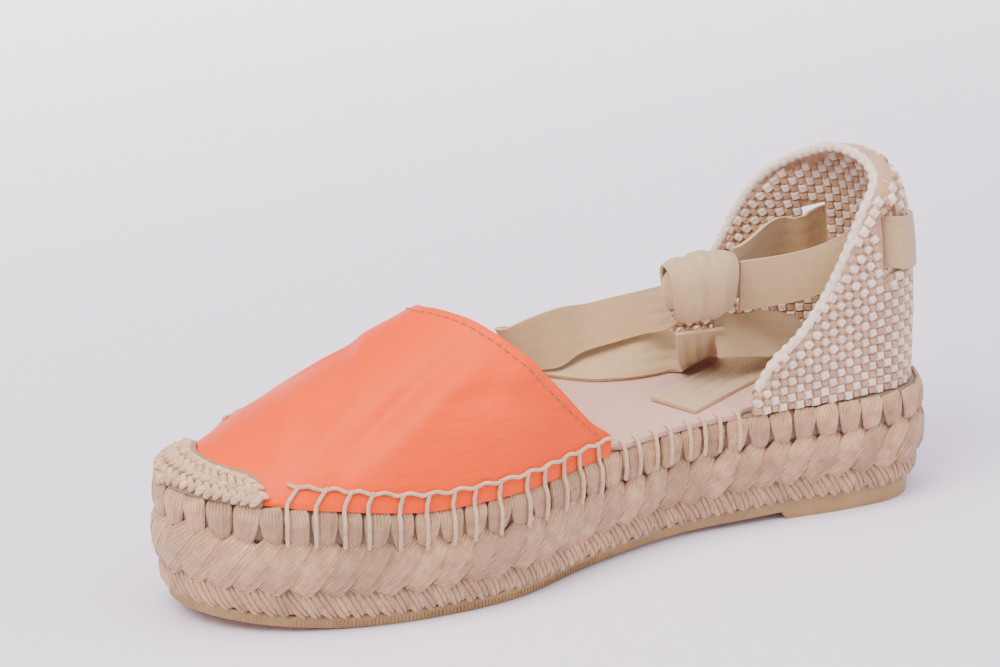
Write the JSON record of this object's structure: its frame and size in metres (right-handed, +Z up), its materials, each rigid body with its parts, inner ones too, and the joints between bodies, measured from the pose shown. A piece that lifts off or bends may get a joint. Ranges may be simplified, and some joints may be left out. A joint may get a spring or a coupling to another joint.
{
  "type": "platform espadrille sandal",
  "caption": "Platform espadrille sandal with a closed leather toe, braided jute platform, tall woven heel piece and ribbon tied at the front.",
  "frame": {"origin": "middle of the footprint on the ground, measured without the knot and the free ribbon", "axes": "+X from toe to heel, +Z up, -Y towards the inner side of the foot"},
  "size_m": [0.252, 0.088, 0.1107],
  "materials": {
    "gum_rubber": "amber gum rubber, slightly glossy, with fine teeth along its lower edge",
    "jute": "braided natural jute, dry and fibrous",
    "jute_knit": "knotted jute loops, dry and fibrous",
    "sock_leather": "smooth undyed pale leather",
    "upper_leather": "smooth orange leather with a soft sheen",
    "woven_cotton": "thick basket weave in cream and tan cotton",
    "ribbon_twill": "khaki herringbone twill"
  },
  "bodies": {
    "root": {"outsole": "gum_rubber", "braid_bottom": "jute", "braid_middle": "jute", "braid_top": "jute", "toe_cap": "jute_knit", "insole": "sock_leather", "vamp": "upper_leather", "heel_counter": "woven_cotton", "ribbon_band": "ribbon_twill", "ribbon_knot": "ribbon_twill", "ribbon_loop": "ribbon_twill", "ribbon_tail": "ribbon_twill"}
  },
  "joints": []
}
